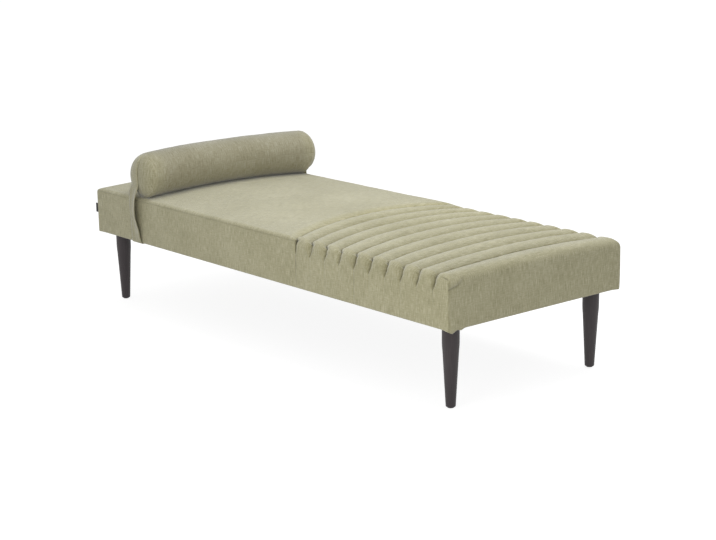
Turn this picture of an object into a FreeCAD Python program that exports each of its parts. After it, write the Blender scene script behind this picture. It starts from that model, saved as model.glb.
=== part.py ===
import FreeCAD, Part
import math
import os
import Sketcher
from FreeCAD import Placement, Rotation, Vector

doc = FreeCAD.newDocument("Daybed")

# Driving dimensions in millimetres: +X runs from head end to foot end, +Z up,
# the origin lies on the floor under the middle of the platform
dimensions = [
    ("platformLength", 1900),
    ("platformWidth", 750),
    ("undersideHeight", 260),
    ("edgeHeight", 425),
    ("deckCrown", 7),
    ("channelEdgeRounding", 30),
    ("plainEdgeRounding", 14),
    ("endRounding", 34),
    ("coverThickness", 2),
    ("layerClearance", 0.3),
    ("paddingThickness", 15),
    ("dustClothThickness", 1.5),
    ("railThickness", 25),
    ("railHeight", 90),
    ("railHousing", 6),
    ("crossRailSpacing", 470),
    ("deckThickness", 9),
    ("blockReach", 80),
    ("blockHeight", 40),
    ("blockChamfer", 30),
    ("firstSeam", 236),
    ("seamPitch", 71.5),
    ("seamBowFirst", 140),
    ("seamBowStep", 11.5),
    ("seamBowSkewNear", 0.75),
    ("seamBowSkewFar", 0.45),
    ("seamBowBeyond", 8),
    ("seamCount", 10),
    ("channelDepth", 13),
    ("notchDepth", 24),
    ("plainRoll", 35),
    ("seamGap", 0.8),
    ("legInsetEnd", 62),
    ("legInsetSide", 67),
    ("legTopDiameter", 53.5),
    ("legStraight", 50),
    ("legShoulderDrop", 32),
    ("legShoulderDiameter", 50),
    ("legFootDiameter", 30.5),
    ("legFootRounding", 3),
    ("glideDiameter", 22),
    ("glideThickness", 3),
    ("boltDiameter", 8),
    ("boltInLeg", 38),
    ("boltBoreSpare", 4),
    ("boltInBlock", 37),
    ("threadClearance", 0.1),
    ("teeNutBarrel", 10),
    ("teeNutDepth", 12),
    ("teeNutFlange", 20),
    ("teeNutFlangeThickness", 1.5),
    ("bolsterDiameter", 165),
    ("bolsterOverhang", 12),
    ("bolsterEndRounding", 40),
    ("bolsterFromHead", 295),
    ("bolsterSeamAngle", 10),
    ("bolsterRest", 0.3),
    ("strapWidth", 60),
    ("strapThickness", 3),
    ("strapTowardsHead", 29),
    ("strapClearance", 0.3),
    ("strapStandOff", 28.5),
    ("strapLean", 3.5),
    ("strapKneeHeight", 364),
    ("strapTurnHeight", 437),
    ("strapCornerRadius", 4),
    ("strapKneeRadius", 150),
    ("strapTurnRadius", 20),
]
sheet = doc.addObject("Spreadsheet::Sheet", "Sizes")
for row, (alias, number) in enumerate(dimensions, start=1):
    sheet.set("A%d" % row, alias)
    sheet.set("B%d" % row, str(number))
    sheet.setAlias("B%d" % row, alias)
doc.recompute()


def mm(alias):
    return float(sheet.get(alias))


seamCount = int(mm("seamCount"))
halfLength = mm("platformLength") / 2
halfWidth = mm("platformWidth") / 2
skin = mm("coverThickness")
underside = mm("undersideHeight")
frameBottom = underside + mm("dustClothThickness")
railTop = frameBottom + mm("railHeight")
deckTop = railTop + mm("deckThickness")
railEndX = halfLength - skin - mm("paddingThickness")
railSideY = halfWidth - skin - mm("paddingThickness")
legX = halfLength - mm("legInsetEnd")
legY = halfWidth - mm("legInsetSide")
corners = [
    ("head_near", -1, -1),
    ("head_far", -1, 1),
    ("foot_near", 1, -1),
    ("foot_far", 1, 1),
]


# Sketch and body helpers
def sketchOn(body, role, name):
    sketch = body.newObject("Sketcher::SketchObject", name)
    plane = [item for item in body.Origin.OriginFeatures if item.Role == role][0]
    sketch.AttachmentSupport = [(plane, "")]
    sketch.MapMode = "FlatFace"
    return sketch


def line(start, end):
    return Part.LineSegment(Vector(*start, 0), Vector(*end, 0))


def arc(start, middle, end):
    return Part.Arc(Vector(*start, 0), Vector(*middle, 0), Vector(*end, 0))


def drawOutline(sketch, edges, closed=True):
    # An arc in a sketch runs anticlockwise, so its ends are told apart by where they lie
    ends = []
    for index, edge in enumerate(edges):
        sketch.addGeometry(edge, False)
        first = sketch.getPoint(index, 1)
        ends.append((1, 2) if first.distanceToPoint(edge.StartPoint) < 1e-6 else (2, 1))
    count = len(edges)
    for index in range(count if closed else count - 1):
        following = (index + 1) % count
        sketch.addConstraint(
            Sketcher.Constraint("Coincident", index, ends[index][1], following, ends[following][0])
        )


def outlineThrough(points):
    following = points[1:] + points[:1]
    return [line(start, end) for start, end in zip(points, following)]


def newBody(label):
    body = doc.addObject("PartDesign::Body", label)
    body.Label = label
    return body


def padOf(body, sketch, alias):
    pad = body.newObject("PartDesign::Pad", sketch.Name + "Pad")
    pad.Profile = sketch
    pad.setExpression("Length", "Sizes." + alias)
    return pad


def revolve(body, sketch, axis):
    turned = body.newObject("PartDesign::Revolution", sketch.Name + "Turned")
    turned.Profile = sketch
    turned.ReferenceAxis = (sketch, [axis])
    turned.Angle = 360
    return turned


def drillThrough(body, diameter, x, y, name):
    # A bore up through the whole block
    sketch = sketchOn(body, "XY_Plane", name)
    sketch.addGeometry(Part.Circle(Vector(x, y, 0), Vector(0, 0, 1), diameter / 2), False)
    bore = body.newObject("PartDesign::Pocket", name + "Bore")
    bore.Profile = sketch
    bore.Type = 1
    bore.Reversed = True
    return bore


def fixedFeature(label, shape):
    feature = doc.addObject("Part::Feature", label)
    feature.Label = label
    feature.Shape = shape
    return feature


# Timber frame: two long side rails housed for three cross rails, and two end rails between them
def makeSideRail(label, side):
    body = newBody(label)
    sketch = sketchOn(body, "XY_Plane", label + "Plan")
    inner = railSideY - mm("railThickness")
    halfRail = mm("railThickness") / 2
    points = [(railEndX, side * railSideY), (-railEndX, side * railSideY), (-railEndX, side * inner)]
    for place in crossRailPlaces:
        points += [
            (place - halfRail, side * inner),
            (place - halfRail, side * (inner + mm("railHousing"))),
            (place + halfRail, side * (inner + mm("railHousing"))),
            (place + halfRail, side * inner),
        ]
    points.append((railEndX, side * inner))
    drawOutline(sketch, outlineThrough(points))
    padOf(body, sketch, "railHeight")
    body.Placement.Base.z = frameBottom
    return body


def makeRailAcross(label, placeX, reach):
    rail = doc.addObject("Part::Box", label)
    rail.Label = label
    rail.setExpression("Length", "Sizes.railThickness")
    rail.setExpression("Height", "Sizes.railHeight")
    rail.Width = 2 * reach
    rail.Placement.Base = Vector(placeX - mm("railThickness") / 2, -reach, frameBottom)
    return rail


def makeCornerBlock(label, endSign, sideSign):
    # A glued block in the frame's corner, bored for the leg's fixing
    body = newBody(label)
    sketch = sketchOn(body, "XY_Plane", label + "Plan")
    outerX = railEndX - mm("railThickness")
    outerY = railSideY - mm("railThickness")
    innerX = outerX - mm("blockReach")
    innerY = outerY - mm("blockReach")
    cutOff = mm("blockChamfer")
    points = [
        (outerX, outerY),
        (innerX, outerY),
        (innerX, innerY + cutOff),
        (innerX + cutOff, innerY),
        (outerX, innerY),
    ]
    drawOutline(sketch, outlineThrough([(endSign * x, sideSign * y) for x, y in points]))
    padOf(body, sketch, "blockHeight")
    doc.recompute()
    drillThrough(body, mm("teeNutBarrel"), endSign * legX, sideSign * legY, label + "Fixing")
    body.Placement.Base.z = frameBottom
    return body


crossRailPlaces = [-mm("crossRailSpacing"), 0, mm("crossRailSpacing")]
innerReach = railSideY - mm("railThickness")
endRailX = railEndX - mm("railThickness") / 2
subparts = [makeSideRail("side_rail_near", -1), makeSideRail("side_rail_far", 1)]
subparts.append(makeRailAcross("head_rail", -endRailX, innerReach))
subparts.append(makeRailAcross("foot_rail", endRailX, innerReach))
for number, place in enumerate(crossRailPlaces, start=1):
    label = "cross_rail_%d" % number
    subparts.append(makeRailAcross(label, place, innerReach + mm("railHousing")))
for name, endSign, sideSign in corners:
    subparts.append(makeCornerBlock("corner_block_" + name, endSign, sideSign))

# Plywood deck on the frame
deck = doc.addObject("Part::Box", "deck_board")
deck.Length = 2 * railEndX
deck.Width = 2 * railSideY
deck.setExpression("Height", "Sizes.deckThickness")
deck.Placement.Base = Vector(-railEndX, -railSideY, railTop)
subparts.append(deck)


# Foam padding on the outer faces of the rails
def makePadding(label, length, width, corner):
    padding = doc.addObject("Part::Box", label)
    padding.Label = label
    padding.Length = length
    padding.Width = width
    padding.Height = deckTop - frameBottom
    padding.Placement.Base = Vector(*corner, frameBottom)
    return padding


foamInset = skin + mm("layerClearance")
insideX = halfLength - foamInset
insideY = halfWidth - foamInset
foam = insideY - railSideY
subparts.append(makePadding("side_padding_near", 2 * insideX, foam, (-insideX, -insideY)))
subparts.append(makePadding("side_padding_far", 2 * insideX, foam, (-insideX, railSideY)))
subparts.append(makePadding("head_padding", foam, 2 * railSideY, (-insideX, -railSideY)))
subparts.append(makePadding("foot_padding", foam, 2 * railSideY, (railEndX, -railSideY)))


# Upholstered pad: XZ sections at stations across the width, closer together towards the long edges
stationAngles = (90, 60, 30, 0)
stationShares = (0.9, 0.68, 0.34)


def stationsAcross(inset, rounding):
    radius = rounding - inset
    flat = halfWidth - rounding
    turned = [flat + radius * math.sin(math.radians(angle)) for angle in stationAngles]
    inner = [flat * share for share in stationShares]
    oneSide = turned + inner
    return [-y for y in oneSide] + [0.0] + oneSide[::-1]


def crestHeight(y, inset, rounding):
    # Crowned between the long edges, then rolled over into the sides
    radius = rounding - inset
    flat = halfWidth - rounding
    top = mm("edgeHeight") - inset
    past = abs(y) - flat
    if past <= 0:
        return top + mm("deckCrown") * (1 - (y / flat) ** 2)
    return top - radius + math.sqrt(max(radius**2 - past**2, 0))


def seamDepth(y, rounding):
    # A seam is shallow on the top and runs out on the side as a deeper notch
    past = max(abs(y) - (halfWidth - rounding), 0)
    share = 1 - math.sqrt(max(1 - (past / rounding) ** 2, 0))
    return mm("channelDepth") + (mm("notchDepth") - mm("channelDepth")) * share


def bowShape(y):
    # A skewed arch that runs out just beyond the long edges, 1 at its highest
    reach = halfWidth + mm("seamBowBeyond")
    along = (y + reach) / (2 * reach)
    near = mm("seamBowSkewNear")
    far = mm("seamBowSkewFar")
    peak = near / (near + far)
    return (along / peak) ** near * ((1 - along) / (1 - peak)) ** far


def seamX(number, y):
    # Seams bow towards the head end, most beyond the middle, less for each seam towards the foot
    bow = mm("seamBowFirst") - mm("seamBowStep") * number
    return mm("firstSeam") + mm("seamPitch") * number - bow * (bowShape(y) - bowShape(-halfWidth))


def shiftedArc(centre, radius, startAngle, endAngle):
    angles = (startAngle, (startAngle + endAngle) / 2, endAngle)
    points = []
    for angle in angles:
        turn = math.radians(angle)
        points.append((centre[0] + radius * math.cos(turn), centre[1] + radius * math.sin(turn)))
    return arc(*points)


def lobe(start, end, height):
    middle = ((start[0] + end[0]) / 2, start[1] + height)
    return arc(start, middle, end)


def halfLobe(low, high):
    # Level at its high end, and as steep as a whole lobe at its low end
    reach = abs(high[0] - low[0])
    rise = high[1] - low[1]
    radius = (reach**2 + rise**2) / (2 * rise)
    half = math.asin(reach / radius) / 2
    side = 1 if low[0] > high[0] else -1
    middle = (high[0] + side * radius * math.sin(half), high[1] - radius * (1 - math.cos(half)))
    return arc(low, middle, high)


def plainSection(y, inset, bottom, tail):
    # From the head end's face over its rounding to the roll beside the first seam
    head = -halfLength + inset
    seam = seamX(0, y) - mm("seamGap")
    crest = crestHeight(y, inset, mm("plainEdgeRounding"))
    valley = crest - seamDepth(y, mm("plainEdgeRounding"))
    radius = mm("endRounding") - inset
    rollStart = (seam - mm("plainRoll"), crest)
    edges = [
        line((head, bottom), (head, crest - radius)),
        shiftedArc((head + radius, crest - radius), radius, 180, 90),
        line((head + radius, crest), rollStart),
        halfLobe((seam, valley), rollStart),
    ]
    last = (seam, valley)
    if tail:
        last = (seam + tail, valley)
        edges.append(line((seam, valley), last))
    edges.append(line(last, (last[0], bottom)))
    edges.append(line((last[0], bottom), (head, bottom)))
    return edges


def channelSection(y, inset, bottom, tail):
    # From the first seam over ten lobes to the foot end's face
    foot = halfLength - inset
    crest = crestHeight(y, inset, mm("channelEdgeRounding"))
    depth = seamDepth(y, mm("channelEdgeRounding"))
    valley = crest - depth
    radius = mm("endRounding") - inset
    seams = [(seamX(number, y), valley) for number in range(seamCount)]
    first = (seams[0][0] - tail, valley)
    edges = [line((first[0], bottom), first)]
    if tail:
        edges.append(line(first, seams[0]))
    for start, end in zip(seams, seams[1:]):
        edges.append(lobe(start, end, depth))
    edges.append(halfLobe(seams[-1], (foot - radius, crest)))
    edges.append(shiftedArc((foot - radius, crest - radius), radius, 90, 0))
    edges.append(line((foot, crest - radius), (foot, bottom)))
    edges.append(line((foot, bottom), (first[0], bottom)))
    return edges


def padLoft(section, rounding, inset, bottom, tail=0):
    upright = Placement(Vector(0, 0, 0), Rotation(Vector(1, 0, 0), 90))
    wires = []
    for y in stationsAcross(inset, mm(rounding)):
        wire = Part.Wire([edge.toShape() for edge in section(y, inset, bottom, tail)])
        wire.Placement = Placement(Vector(0, y, 0), upright.Rotation)
        wires.append(wire)
    return Part.makeLoft(wires, True, False)


def makeCover(label, section, rounding):
    outer = fixedFeature(label + "Outside", padLoft(section, rounding, 0, underside))
    below = underside - skin
    inner = fixedFeature(label + "Inside", padLoft(section, rounding, skin, below, tail=skin))
    cover = doc.addObject("Part::Cut", label)
    cover.Label = label
    cover.Base = outer
    cover.Tool = inner
    return cover


subparts.append(makeCover("plain_cover", plainSection, "plainEdgeRounding"))
subparts.append(makeCover("channelled_cover", channelSection, "channelEdgeRounding"))
seatFoam = padLoft(plainSection, "plainEdgeRounding", foamInset, deckTop)
subparts.append(fixedFeature("seat_foam", seatFoam))
channelledFoam = padLoft(channelSection, "channelEdgeRounding", foamInset, deckTop)
subparts.append(fixedFeature("channelled_foam", channelledFoam))

# Dust cloth under the frame, with a hole for each leg's bolt
cloth = newBody("dust_cloth")
clothSketch = sketchOn(cloth, "XY_Plane", "dustClothPlan")
drawOutline(
    clothSketch,
    outlineThrough([(-insideX, -insideY), (insideX, -insideY), (insideX, insideY), (-insideX, insideY)]),
)
for name, endSign, sideSign in corners:
    centre = Vector(endSign * legX, sideSign * legY, 0)
    clothSketch.addGeometry(Part.Circle(centre, Vector(0, 0, 1), mm("teeNutBarrel") / 2), False)
padOf(cloth, clothSketch, "dustClothThickness")
cloth.Placement.Base.z = underside
subparts.append(cloth)


# Turned legs: straight at the top, a soft shoulder, then a straight taper to the floor
def makeLeg(label, endSign, sideSign):
    body = newBody(label)
    sketch = sketchOn(body, "XZ_Plane", label + "Profile")
    top = underside
    bottom = mm("glideThickness")
    radius = mm("legTopDiameter") / 2
    shoulder = mm("legShoulderDiameter") / 2
    foot = mm("legFootDiameter") / 2
    soft = mm("legFootRounding")
    bore = mm("boltDiameter") / 2 + mm("threadClearance")
    boreBottom = top - mm("boltInLeg") - mm("boltBoreSpare")
    straightEnd = (radius, top - mm("legStraight"))
    taperStart = (shoulder, straightEnd[1] - mm("legShoulderDrop"))
    slope = (shoulder - foot) / (taperStart[1] - bottom)
    # The shoulder leaves the straight top level with it, so half way down it has turned in by a quarter
    shoulderMiddle = (radius - (radius - shoulder) / 4, (straightEnd[1] + taperStart[1]) / 2)
    footEdge = (foot + slope * soft, bottom + soft)
    cornerShare = 1 - math.sqrt(0.5)
    footMiddle = (foot - soft * cornerShare, bottom + soft * cornerShare)
    edges = [
        line((0, bottom), (foot - soft, bottom)),
        arc((foot - soft, bottom), footMiddle, footEdge),
        line(footEdge, taperStart),
        arc(taperStart, shoulderMiddle, straightEnd),
        line(straightEnd, (radius, top)),
        line((radius, top), (bore, top)),
        line((bore, top), (bore, boreBottom)),
        line((bore, boreBottom), (0, boreBottom)),
        line((0, boreBottom), (0, bottom)),
    ]
    drawOutline(sketch, edges)
    revolve(body, sketch, "V_Axis")
    body.Placement.Base = Vector(endSign * legX, sideSign * legY, 0)
    return body


for name, endSign, sideSign in corners:
    subparts.append(makeLeg("leg_" + name, endSign, sideSign))


# Fixings: one turned piece drawn on the leg's axis, then set at each of the four legs
def makeAtLegs(label, edges):
    pattern = newBody(label + "Pattern")
    sketch = sketchOn(pattern, "XZ_Plane", label + "Profile")
    drawOutline(sketch, edges)
    revolve(pattern, sketch, "V_Axis")
    doc.recompute()
    copies = []
    for name, endSign, sideSign in corners:
        copy = pattern.Shape.copy()
        copy.translate(Vector(endSign * legX, sideSign * legY, 0))
        copies.append(copy)
    return fixedFeature(label, Part.makeCompound(copies))


boltRadius = mm("boltDiameter") / 2
boltTop = frameBottom + mm("boltInBlock")
boltBottom = underside - mm("boltInLeg")
boltPoints = [
    (0, boltBottom),
    (boltRadius / 2, boltBottom),
    (boltRadius, boltBottom + boltRadius),
    (boltRadius, boltTop),
    (0, boltTop),
]
subparts.append(makeAtLegs("hanger_bolts", outlineThrough(boltPoints)))

nutBore = boltRadius + mm("threadClearance")
nutBarrel = mm("teeNutBarrel") / 2 - mm("threadClearance")
nutSeat = frameBottom + mm("blockHeight")
nutTop = nutSeat + mm("teeNutFlangeThickness")
nutPoints = [
    (nutBore, nutSeat - mm("teeNutDepth")),
    (nutBarrel, nutSeat - mm("teeNutDepth")),
    (nutBarrel, nutSeat),
    (mm("teeNutFlange") / 2, nutSeat),
    (mm("teeNutFlange") / 2, nutTop),
    (nutBore, nutTop),
]
subparts.append(makeAtLegs("tee_nuts", outlineThrough(nutPoints)))

glideRadius = mm("glideDiameter") / 2
glideHeight = mm("glideThickness")
glideSoft = glideHeight / 2
glidePoints = [
    (0, 0),
    (glideRadius - glideSoft, 0),
    (glideRadius, glideSoft),
    (glideRadius, glideHeight),
    (0, glideHeight),
]
subparts.append(makeAtLegs("leg_glides", outlineThrough(glidePoints)))

# Bolster: a foam roll in a sewn tube with a domed disc at each end
bolsterX = -halfLength + mm("bolsterFromHead")
bolsterRadius = mm("bolsterDiameter") / 2
bolsterHalf = halfWidth + mm("bolsterOverhang")
bolsterEnd = mm("bolsterEndRounding")
bolsterZ = mm("edgeHeight") + mm("deckCrown") + mm("bolsterRest") + bolsterRadius
seamAngle = mm("bolsterSeamAngle")
endCentre = (bolsterHalf - bolsterEnd, bolsterRadius - bolsterEnd)


def onEnd(inset, angle):
    turn = math.radians(angle)
    radius = bolsterEnd - inset
    return (endCentre[0] + radius * math.sin(turn), endCentre[1] + radius * math.cos(turn))


def endArc(inset, fromAngle, toAngle):
    # Angle 0 is at the roll's side, 90 is on the end face
    return arc(onEnd(inset, fromAngle), onEnd(inset, (fromAngle + toAngle) / 2), onEnd(inset, toAngle))


def mirrored(point):
    return (-point[0], point[1])


def makeTurnedBolster(label, edges):
    body = newBody(label)
    sketch = sketchOn(body, "YZ_Plane", label + "Profile")
    drawOutline(sketch, edges)
    revolve(body, sketch, "H_Axis")
    body.Placement.Base = Vector(bolsterX, 0, bolsterZ)
    return body


def rollOutline(inset):
    half = bolsterHalf - inset
    nearEnd = arc(mirrored(onEnd(inset, 90)), mirrored(onEnd(inset, 45)), mirrored(onEnd(inset, 0)))
    return [
        line((-half, 0), mirrored(onEnd(inset, 90))),
        nearEnd,
        line(mirrored(onEnd(inset, 0)), onEnd(inset, 0)),
        endArc(inset, 0, 90),
        line(onEnd(inset, 90), (half, 0)),
        line((half, 0), (-half, 0)),
    ]


def sleeveOutline():
    half = seamAngle / 2
    nearOut = arc(mirrored(onEnd(0, seamAngle)), mirrored(onEnd(0, half)), mirrored(onEnd(0, 0)))
    nearIn = arc(mirrored(onEnd(skin, 0)), mirrored(onEnd(skin, half)), mirrored(onEnd(skin, seamAngle)))
    return [
        nearOut,
        line(mirrored(onEnd(0, 0)), onEnd(0, 0)),
        endArc(0, 0, seamAngle),
        line(onEnd(0, seamAngle), onEnd(skin, seamAngle)),
        endArc(skin, seamAngle, 0),
        line(onEnd(skin, 0), mirrored(onEnd(skin, 0))),
        nearIn,
        line(mirrored(onEnd(skin, seamAngle)), mirrored(onEnd(0, seamAngle))),
    ]


def discOutline():
    half = bolsterHalf
    return [
        endArc(0, seamAngle, 90),
        line(onEnd(0, 90), (half, 0)),
        line((half, 0), (half - skin, 0)),
        line((half - skin, 0), onEnd(skin, 90)),
        endArc(skin, 90, seamAngle),
        line(onEnd(skin, seamAngle), onEnd(0, seamAngle)),
    ]


subparts.append(makeTurnedBolster("bolster_core", rollOutline(skin)))
subparts.append(makeTurnedBolster("bolster_cover", sleeveOutline()))
farDisc = makeTurnedBolster("bolster_end_far", discOutline())
subparts.append(farDisc)
nearDisc = makeTurnedBolster("bolster_end_near", discOutline())
nearDisc.Placement = Placement(Vector(bolsterX, 0, bolsterZ), Rotation(Vector(0, 0, 1), 180))
subparts.append(nearDisc)


# Strap: one band sewn to both ends of the bolster, standing off the sides and passing underneath
def roundedPath(points, radii):
    edges = []
    start = Vector(*points[0], 0)
    for index in range(1, len(points) - 1):
        corner = Vector(*points[index], 0)
        towards = (Vector(*points[index - 1], 0) - corner).normalize()
        away = (Vector(*points[index + 1], 0) - corner).normalize()
        half = towards.getAngle(away) / 2
        reach = radii[index - 1] / math.tan(half)
        middle = corner + (towards + away).normalize() * (radii[index - 1] / math.sin(half) - radii[index - 1])
        bendStart = corner + towards * reach
        bendEnd = corner + away * reach
        edges.append(Part.LineSegment(start, bendStart))
        edges.append(Part.Arc(bendStart, middle, bendEnd))
        start = bendEnd
    edges.append(Part.LineSegment(start, Vector(*points[-1], 0)))
    return edges


halfStrap = mm("strapThickness") / 2
strapLow = underside - mm("strapClearance") - halfStrap
strapOut = halfWidth + mm("strapStandOff")
farRoute = [
    (halfWidth + mm("strapLean"), strapLow),
    (strapOut, mm("strapKneeHeight")),
    (strapOut, mm("strapTurnHeight")),
    (strapOut - bolsterEnd, mm("strapTurnHeight") + bolsterEnd),
]
strapRadii = [mm("strapCornerRadius"), mm("strapKneeRadius"), mm("strapTurnRadius")]
strapBody = newBody("strapBand")
strapSpine = sketchOn(strapBody, "YZ_Plane", "strapRoute")
drawOutline(
    strapSpine,
    roundedPath([mirrored(point) for point in farRoute[::-1]] + farRoute, strapRadii[::-1] + strapRadii),
    closed=False,
)
strapSection = sketchOn(strapBody, "XZ_Plane", "strapSection")
halfBand = mm("strapWidth") / 2
drawOutline(
    strapSection,
    outlineThrough(
        [
            (-halfBand, strapLow - halfStrap),
            (halfBand, strapLow - halfStrap),
            (halfBand, strapLow + halfStrap),
            (-halfBand, strapLow + halfStrap),
        ]
    ),
)
doc.recompute()
strapBand = strapBody.newObject("PartDesign::AdditivePipe", "strapSwept")
strapBand.Profile = strapSection
strapBand.Spine = (strapSpine, [])
strapBody.Placement.Base.x = bolsterX - mm("strapTowardsHead")
rollSeat = makeTurnedBolster("strapSeat", rollOutline(-mm("strapClearance")))
strap = doc.addObject("Part::Cut", "bolster_strap")
strap.Base = strapBody
strap.Tool = rollSeat
subparts.append(strap)

# Every object and every sub-part is checked before anything is written
doc.recompute()
for item in doc.Objects:
    for state in item.State:
        if state in ("Invalid", "Error"):
            raise RuntimeError("%s did not compute" % item.Name)
os.makedirs("parts", exist_ok=True)
for subpart in subparts:
    shape = subpart.Shape
    if shape.isNull() or not shape.isValid():
        raise RuntimeError("%s has no valid shape" % subpart.Label)
for subpart in subparts:
    subpart.Shape.exportStep("parts/%s.step" % subpart.Label)
    print(subpart.Label, len(subpart.Shape.Solids), round(subpart.Shape.Volume))
print(len(subparts), "sub-parts")
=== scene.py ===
import math
import bmesh
import bpy
import numpy as np
from mathutils import Matrix, Vector, noise


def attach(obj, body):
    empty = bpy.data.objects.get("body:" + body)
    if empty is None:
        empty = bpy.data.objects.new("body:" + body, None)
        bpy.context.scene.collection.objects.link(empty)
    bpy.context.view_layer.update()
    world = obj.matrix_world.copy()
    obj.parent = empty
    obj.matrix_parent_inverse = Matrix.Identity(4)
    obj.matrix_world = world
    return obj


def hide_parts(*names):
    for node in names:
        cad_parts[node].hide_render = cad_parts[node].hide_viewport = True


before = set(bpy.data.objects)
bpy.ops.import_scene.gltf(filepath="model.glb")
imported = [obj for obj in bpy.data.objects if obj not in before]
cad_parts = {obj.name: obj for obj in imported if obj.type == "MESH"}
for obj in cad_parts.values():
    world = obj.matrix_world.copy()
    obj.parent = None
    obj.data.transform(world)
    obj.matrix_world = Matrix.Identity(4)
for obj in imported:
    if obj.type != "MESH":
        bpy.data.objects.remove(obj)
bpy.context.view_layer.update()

scene = bpy.context.scene
scene.view_settings.view_transform = "Standard"


# Camera, lights and floor
cameraSetup = {
    "place": (4.36353, -3.61424, 1.59529), "azimuth": 49.685, "elevation": 13.711,
    "roll": -0.7237, "focalPixels": 1680.05, "imageWidth": 716, "sensor": 36.0,
}
lightSetup = {
    "worldLevel": 0.525, "overheadPlace": (0.2, 0.5, 2.3), "overheadAim": (0.3, 0, 0.4),
    "overheadPower": 31.0, "overheadSize": 1.8, "fillPlace": (1.45, -2.6, 0.9),
    "fillAim": (0.3, 0, 0.3), "fillPower": 18.0, "fillSize": 1.4, "floorReach": 30,
    "floorPlace": -0.0005, "floorShade": 0.8, "floorGlow": 0.87, "shadowShare": 0.34,
}


def addObject(name, data):
    item = bpy.data.objects.new(name, data)
    scene.collection.objects.link(item)
    return item


def addCamera(setup):
    azimuth, elevation, roll = (math.radians(setup[key]) for key in ("azimuth", "elevation", "roll"))
    back = Vector((
        math.sin(azimuth) * math.cos(elevation),
        -math.cos(azimuth) * math.cos(elevation),
        math.sin(elevation),
    ))
    right = (-back).cross(Vector((0, 0, 1))).normalized()
    up = right.cross(-back)
    turnedRight = right * math.cos(roll) + up * math.sin(roll)
    turnedUp = up * math.cos(roll) - right * math.sin(roll)
    data = bpy.data.cameras.new("Camera")
    data.sensor_fit = "HORIZONTAL"
    data.sensor_width = setup["sensor"]
    data.lens = setup["focalPixels"] * setup["sensor"] / setup["imageWidth"]
    data.clip_end = 60
    item = addObject("Camera", data)
    axes = Matrix((turnedRight, turnedUp, back)).transposed().to_4x4()
    item.matrix_world = Matrix.Translation(setup["place"]) @ axes
    scene.camera = item


def addNode(tree, kind, inputs=None, **settings):
    node = tree.nodes.new(kind)
    for key, value in settings.items():
        setattr(node, key, value)
    for key, value in (inputs or {}).items():
        if isinstance(value, bpy.types.NodeSocket):
            tree.links.new(value, node.inputs[key])
        else:
            node.inputs[key].default_value = value
    return node


def calculated(tree, operation, first, second):
    return addNode(tree, "ShaderNodeMath", {0: first, 1: second}, operation=operation).outputs[0]


def blankTree(owner):
    owner.use_nodes = True
    owner.node_tree.nodes.clear()
    return owner.node_tree


def splitByRay(tree, kind, lit, seen):
    # Rays from the camera, a mirror or glass meet what is seen, and plain light meets what is lit
    path = addNode(tree, "ShaderNodeLightPath").outputs
    direct = calculated(tree, "MAXIMUM", path["Is Camera Ray"], path["Is Glossy Ray"])
    direct = calculated(tree, "MAXIMUM", direct, path["Is Transmission Ray"])
    mix = addNode(tree, "ShaderNodeMixShader", {0: direct, 1: lit.outputs[0], 2: seen.outputs[0]})
    addNode(tree, kind, {"Surface": mix.outputs[0]})


def addWorld(setup):
    world = bpy.data.worlds.new("Studio")
    tree = blankTree(world)
    plain = addNode(tree, "ShaderNodeBackground", {"Color": (1, 1, 1, 1), "Strength": setup["worldLevel"]})
    white = addNode(tree, "ShaderNodeBackground", {"Color": (1, 1, 1, 1), "Strength": 1.0})
    splitByRay(tree, "ShaderNodeOutputWorld", plain, white)
    scene.world = world


def addLamp(name, setup):
    key = name.lower()
    place, aim = Vector(setup[key + "Place"]), Vector(setup[key + "Aim"])
    data = bpy.data.lights.new(name, "AREA")
    data.shape = "SQUARE"
    data.size = setup[key + "Size"]
    data.energy = setup[key + "Power"]
    item = addObject(name, data)
    item.location = place
    item.rotation_euler = (aim - place).to_track_quat("-Z", "Y").to_euler()
    item.visible_glossy = False


def addFloor(setup):
    mesh = bpy.data.meshes.new("Floor")
    reach = setup["floorReach"]
    corners = [(-reach, -reach, 0), (reach, -reach, 0), (reach, reach, 0), (-reach, reach, 0)]
    mesh.from_pydata(corners, [], [(0, 1, 2, 3)])
    floor = addObject("Floor", mesh)
    floor.location.z = setup["floorPlace"]
    material = bpy.data.materials.new("PaleFloor")
    tree = blankTree(material)
    shade = setup["floorShade"]
    matt = addNode(tree, "ShaderNodeBsdfDiffuse", {"Color": (shade, shade, shade, 1)})
    shadow = addNode(tree, "ShaderNodeBsdfDiffuse", {"Color": (setup["shadowShare"],) * 3 + (1,)})
    glow = addNode(tree, "ShaderNodeEmission", {"Color": (1, 1, 1, 1), "Strength": setup["floorGlow"]})
    white = addNode(tree, "ShaderNodeAddShader", {0: shadow.outputs[0], 1: glow.outputs[0]})
    splitByRay(tree, "ShaderNodeOutputMaterial", matt, white)
    mesh.materials.append(material)


addCamera(cameraSetup)
addWorld(lightSetup)
addLamp("Overhead", lightSetup)
addLamp("Fill", lightSetup)
addFloor(lightSetup)
print("camera, lights and floor")


# Finishes
def startMaterial(name):
    material = bpy.data.materials.new(name)
    tree = blankTree(material)
    shader = addNode(tree, "ShaderNodeBsdfPrincipled")
    addNode(tree, "ShaderNodeOutputMaterial", {"Surface": shader.outputs[0]})
    return material, tree, shader


def stretchedNoise(tree, source, scale, detail=3.0, roughness=0.6, shift=(0, 0, 0)):
    place = addNode(tree, "ShaderNodeMapping", {"Vector": source, "Location": shift, "Scale": scale})
    settings = {"Vector": place.outputs[0], "Scale": 1.0, "Detail": detail, "Roughness": roughness}
    return addNode(tree, "ShaderNodeTexNoise", settings).outputs["Fac"]


def weighted(tree, parts):
    total = None
    for source, weight in parts:
        scaled = calculated(tree, "MULTIPLY", source, weight)
        total = scaled if total is None else calculated(tree, "ADD", total, scaled)
    return total


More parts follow.
